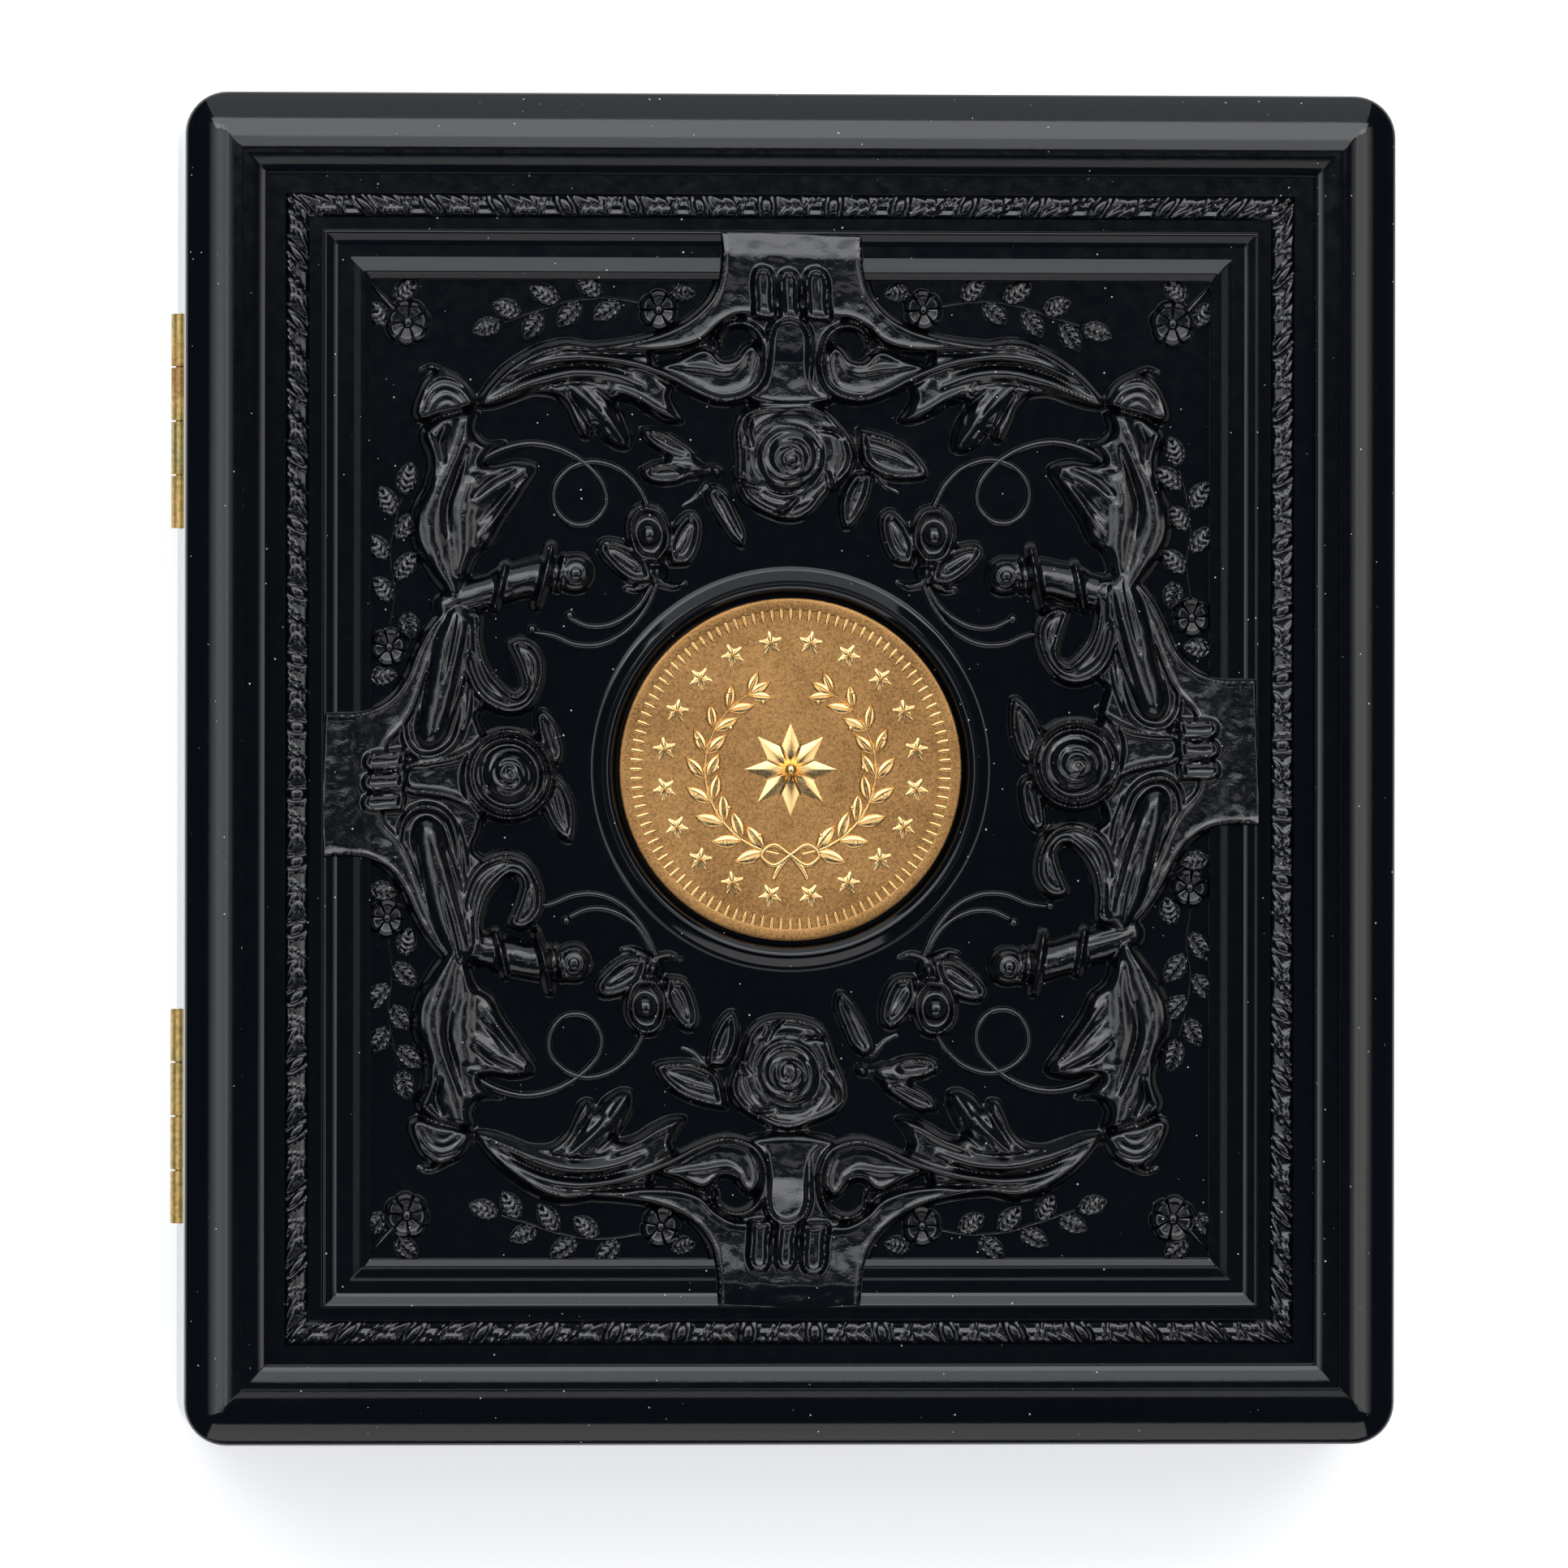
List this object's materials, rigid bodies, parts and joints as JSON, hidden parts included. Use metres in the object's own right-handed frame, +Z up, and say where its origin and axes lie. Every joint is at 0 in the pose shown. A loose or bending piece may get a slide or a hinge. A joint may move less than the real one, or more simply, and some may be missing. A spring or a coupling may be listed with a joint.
{
  "type": "hinged coin presentation case",
  "caption": "Flat hinged case of moulded black plastic with a carved lid, a gold coin let into the lid, and encapsulated coins on a flocked tray inside.",
  "frame": {"origin": "middle of the plane that the closed case rests on, under the middle of the case", "axes": "+X from the hinge side to the opening side, +Y along the hinges towards the top of the lid's design, +Z up through the lid"},
  "size_m": [0.0962, 0.1062, 0.0251],
  "materials": {
    "case_black": "glossy moulded black",
    "hinge_brass": "worn yellow brass",
    "coin_gold": "frosted gold",
    "coin_silver": "mirror field with frosted relief",
    "capsule_clear": "clear polished",
    "tray_flock": "flocked",
    "pad_velvet": "velvet",
    "pad_board": "plain",
    "adhesive": "matte foam tape"
  },
  "bodies": {
    "base": {"base_cover": "case_black", "base_rim": "case_black", "upper_hinge_base_leaf": "hinge_brass", "upper_hinge_pin": "hinge_brass", "lower_hinge_base_leaf": "hinge_brass", "lower_hinge_pin": "hinge_brass", "base_hinge_nails": "hinge_brass", "base_catch_plate": "hinge_brass", "base_catch_rivets": "hinge_brass", "coin_tray": "tray_flock", "large_coin": "coin_silver", "large_capsule_base": "capsule_clear", "large_capsule_lid": "capsule_clear", "medium_coin": "coin_silver", "medium_capsule_base": "capsule_clear", "medium_capsule_lid": "capsule_clear", "small_coin": "coin_gold", "small_capsule_base": "capsule_clear", "small_capsule_lid": "capsule_clear"},
    "lid": {"lid_cover": "case_black", "lid_rim": "case_black", "upper_hinge_lid_leaf": "hinge_brass", "lower_hinge_lid_leaf": "hinge_brass", "lid_hinge_nails": "hinge_brass", "lid_catch_plate": "hinge_brass", "lid_catch_rivets": "hinge_brass", "lid_coin": "coin_gold", "lid_coin_adhesive": "adhesive", "lid_pad_board": "pad_board", "lid_pad": "pad_velvet"}
  },
  "joints": [
    {"name": "lid_hinge", "type": "hinge", "parent": "base", "child": "lid", "pos_m": [-0.0478, 0, 0.01255], "axis": [0, -1, 0], "range_deg": [0, 180]}
  ]
}
